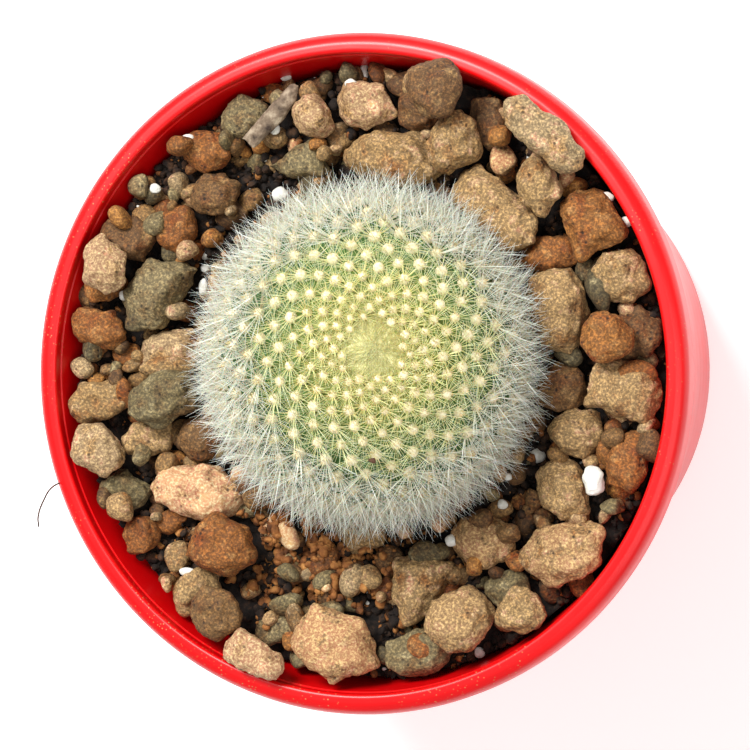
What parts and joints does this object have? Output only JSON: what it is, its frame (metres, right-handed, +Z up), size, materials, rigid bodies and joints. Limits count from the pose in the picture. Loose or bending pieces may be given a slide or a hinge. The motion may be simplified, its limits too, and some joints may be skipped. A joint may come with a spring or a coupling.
{
  "type": "potted round cactus",
  "caption": "Small round cactus with dense white spines in a tapered red plastic pot, planted in dark soil and top-dressed with brown river gravel.",
  "frame": {"origin": "centre of the pot's foot, on the surface that the pot stands on", "axes": "+Z up along the pot's axis; the cactus leans towards +X and the higher side of the gravel is towards -X"},
  "size_m": [0.09, 0.09, 0.084],
  "materials": {
    "red_plastic": "satin",
    "potting_soil": "matte",
    "cactus_flesh": "satin",
    "cactus_spines": "satin",
    "gravel_rust": "matte",
    "gravel_brown": "matte",
    "gravel_tan": "matte",
    "gravel_pale": "matte",
    "gravel_olive": "matte",
    "perlite": "matte",
    "bark": "matte"
  },
  "bodies": {
    "root": {"pot": "red_plastic", "soil": "potting_soil", "cactus_stem": "cactus_flesh", "gravel_01": "gravel_rust", "gravel_02": "gravel_brown", "gravel_03": "gravel_tan", "gravel_04": "gravel_olive", "gravel_05": "gravel_olive", "gravel_06": "gravel_tan", "gravel_07": "gravel_olive", "gravel_08": "gravel_brown", "gravel_09": "gravel_tan", "gravel_10": "gravel_brown", "gravel_11": "gravel_olive", "gravel_12": "gravel_rust", "gravel_13": "gravel_brown", "gravel_14": "gravel_rust", "gravel_15": "gravel_brown", "gravel_16": "gravel_olive", "gravel_17": "gravel_rust", "gravel_18": "gravel_pale", "gravel_19": "gravel_rust", "gravel_20": "gravel_pale", "gravel_21": "gravel_tan", "gravel_22": "gravel_olive", "gravel_23": "gravel_pale", "gravel_24": "gravel_pale", "gravel_25": "gravel_rust", "gravel_26": "gravel_rust", "gravel_27": "gravel_tan", "gravel_28": "gravel_brown", "gravel_29": "gravel_olive", "gravel_30": "gravel_pale", "gravel_31": "gravel_tan", "gravel_32": "gravel_olive", "gravel_33": "gravel_tan", "gravel_34": "gravel_tan", "gravel_35": "gravel_tan", "gravel_36": "gravel_tan", "gravel_37": "gravel_tan", "gravel_38": "gravel_tan", "gravel_39": "gravel_rust", "gravel_40": "gravel_tan", "gravel_41": "gravel_brown", "gravel_42": "gravel_tan", "gravel_43": "gravel_rust", "gravel_44": "gravel_tan", "gravel_45": "gravel_tan", "gravel_46": "gravel_rust", "gravel_47": "gravel_tan", "gravel_48": "gravel_tan", "gravel_49": "gravel_pale", "gravel_50": "gravel_tan", "gravel_51": "gravel_brown", "gravel_52": "gravel_brown", "gravel_53": "gravel_pale", "gravel_54": "gravel_pale", "perlite_1": "perlite", "perlite_2": "perlite", "bark_chip": "bark"}
  },
  "joints": []
}
